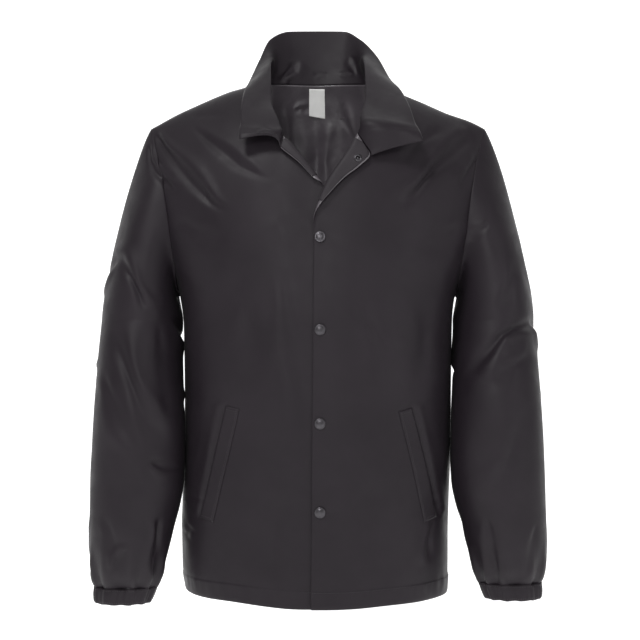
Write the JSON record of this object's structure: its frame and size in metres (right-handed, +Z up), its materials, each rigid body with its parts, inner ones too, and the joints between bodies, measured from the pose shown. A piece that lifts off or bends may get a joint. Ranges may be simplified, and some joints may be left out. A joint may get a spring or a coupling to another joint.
{
  "type": "coach jacket",
  "caption": "Snap-front coach jacket, filled out as if worn: standing open collar, set-in sleeves with gathered cuffs, slanted welt pockets, turned hem.",
  "frame": {"origin": "the middle of the neck base, where the wearer's neck and shoulders hold the jacket: on its plane of symmetry, 9 mm below the sewn neck points of the shoulder seams", "axes": "+Z up, -Y the jacket's front, +X towards the wearer's left"},
  "size_m": [0.6416, 0.2774, 0.8334],
  "materials": {
    "shell": "charcoal plain-weave nylon with a soft sheen",
    "facing": "inner side of the same nylon, a little paler",
    "lining": "glossy black taffeta, crumpled",
    "label": "white satin tape, blank",
    "snap_metal": "dark gunmetal, satin"
  },
  "bodies": {
    "root": {"front_left": "shell", "front_right": "shell", "back": "shell", "sleeve_left": "shell", "sleeve_right": "shell", "cuff_left": "shell", "cuff_right": "shell", "collar": "shell", "pocket_welt_left": "shell", "pocket_welt_right": "shell", "facing_left": "facing", "facing_right": "facing", "lining_back": "lining", "neck_label": "label", "snap_cap_1": "snap_metal", "snap_cap_2": "snap_metal", "snap_cap_3": "snap_metal", "snap_cap_4": "snap_metal", "snap_socket_open": "snap_metal"}
  },
  "joints": []
}
